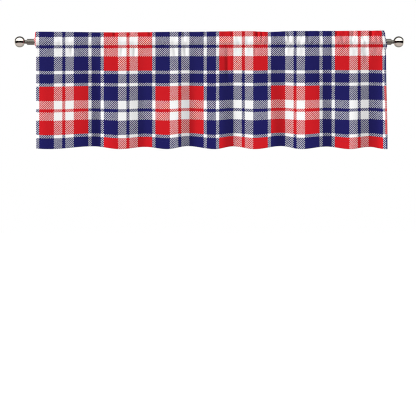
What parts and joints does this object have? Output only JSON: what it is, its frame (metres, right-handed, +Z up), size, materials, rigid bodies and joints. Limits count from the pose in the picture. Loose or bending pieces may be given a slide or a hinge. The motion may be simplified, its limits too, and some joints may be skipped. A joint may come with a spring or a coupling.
{
  "type": "window valance on a curtain rod",
  "caption": "Straight rod-pocket window valance in a woven-look plaid, with a flat header and a plain hem, hanging in soft folds from a round rod with ball finials.",
  "frame": {"origin": "middle of the rod's axis", "axes": "+X along the rod, to the right as seen from the room; +Y towards the wall; +Z up"},
  "size_m": [1.524, 0.044, 0.4633],
  "materials": {
    "printed_cloth": "matt plaid of navy, red and white squares with twill-hatched stripes",
    "brushed_nickel": "satin",
    "polished_nickel": "polished"
  },
  "bodies": {
    "root": {"cloth": "printed_cloth", "rod": "brushed_nickel", "finial_left": "polished_nickel", "finial_right": "polished_nickel"}
  },
  "joints": []
}
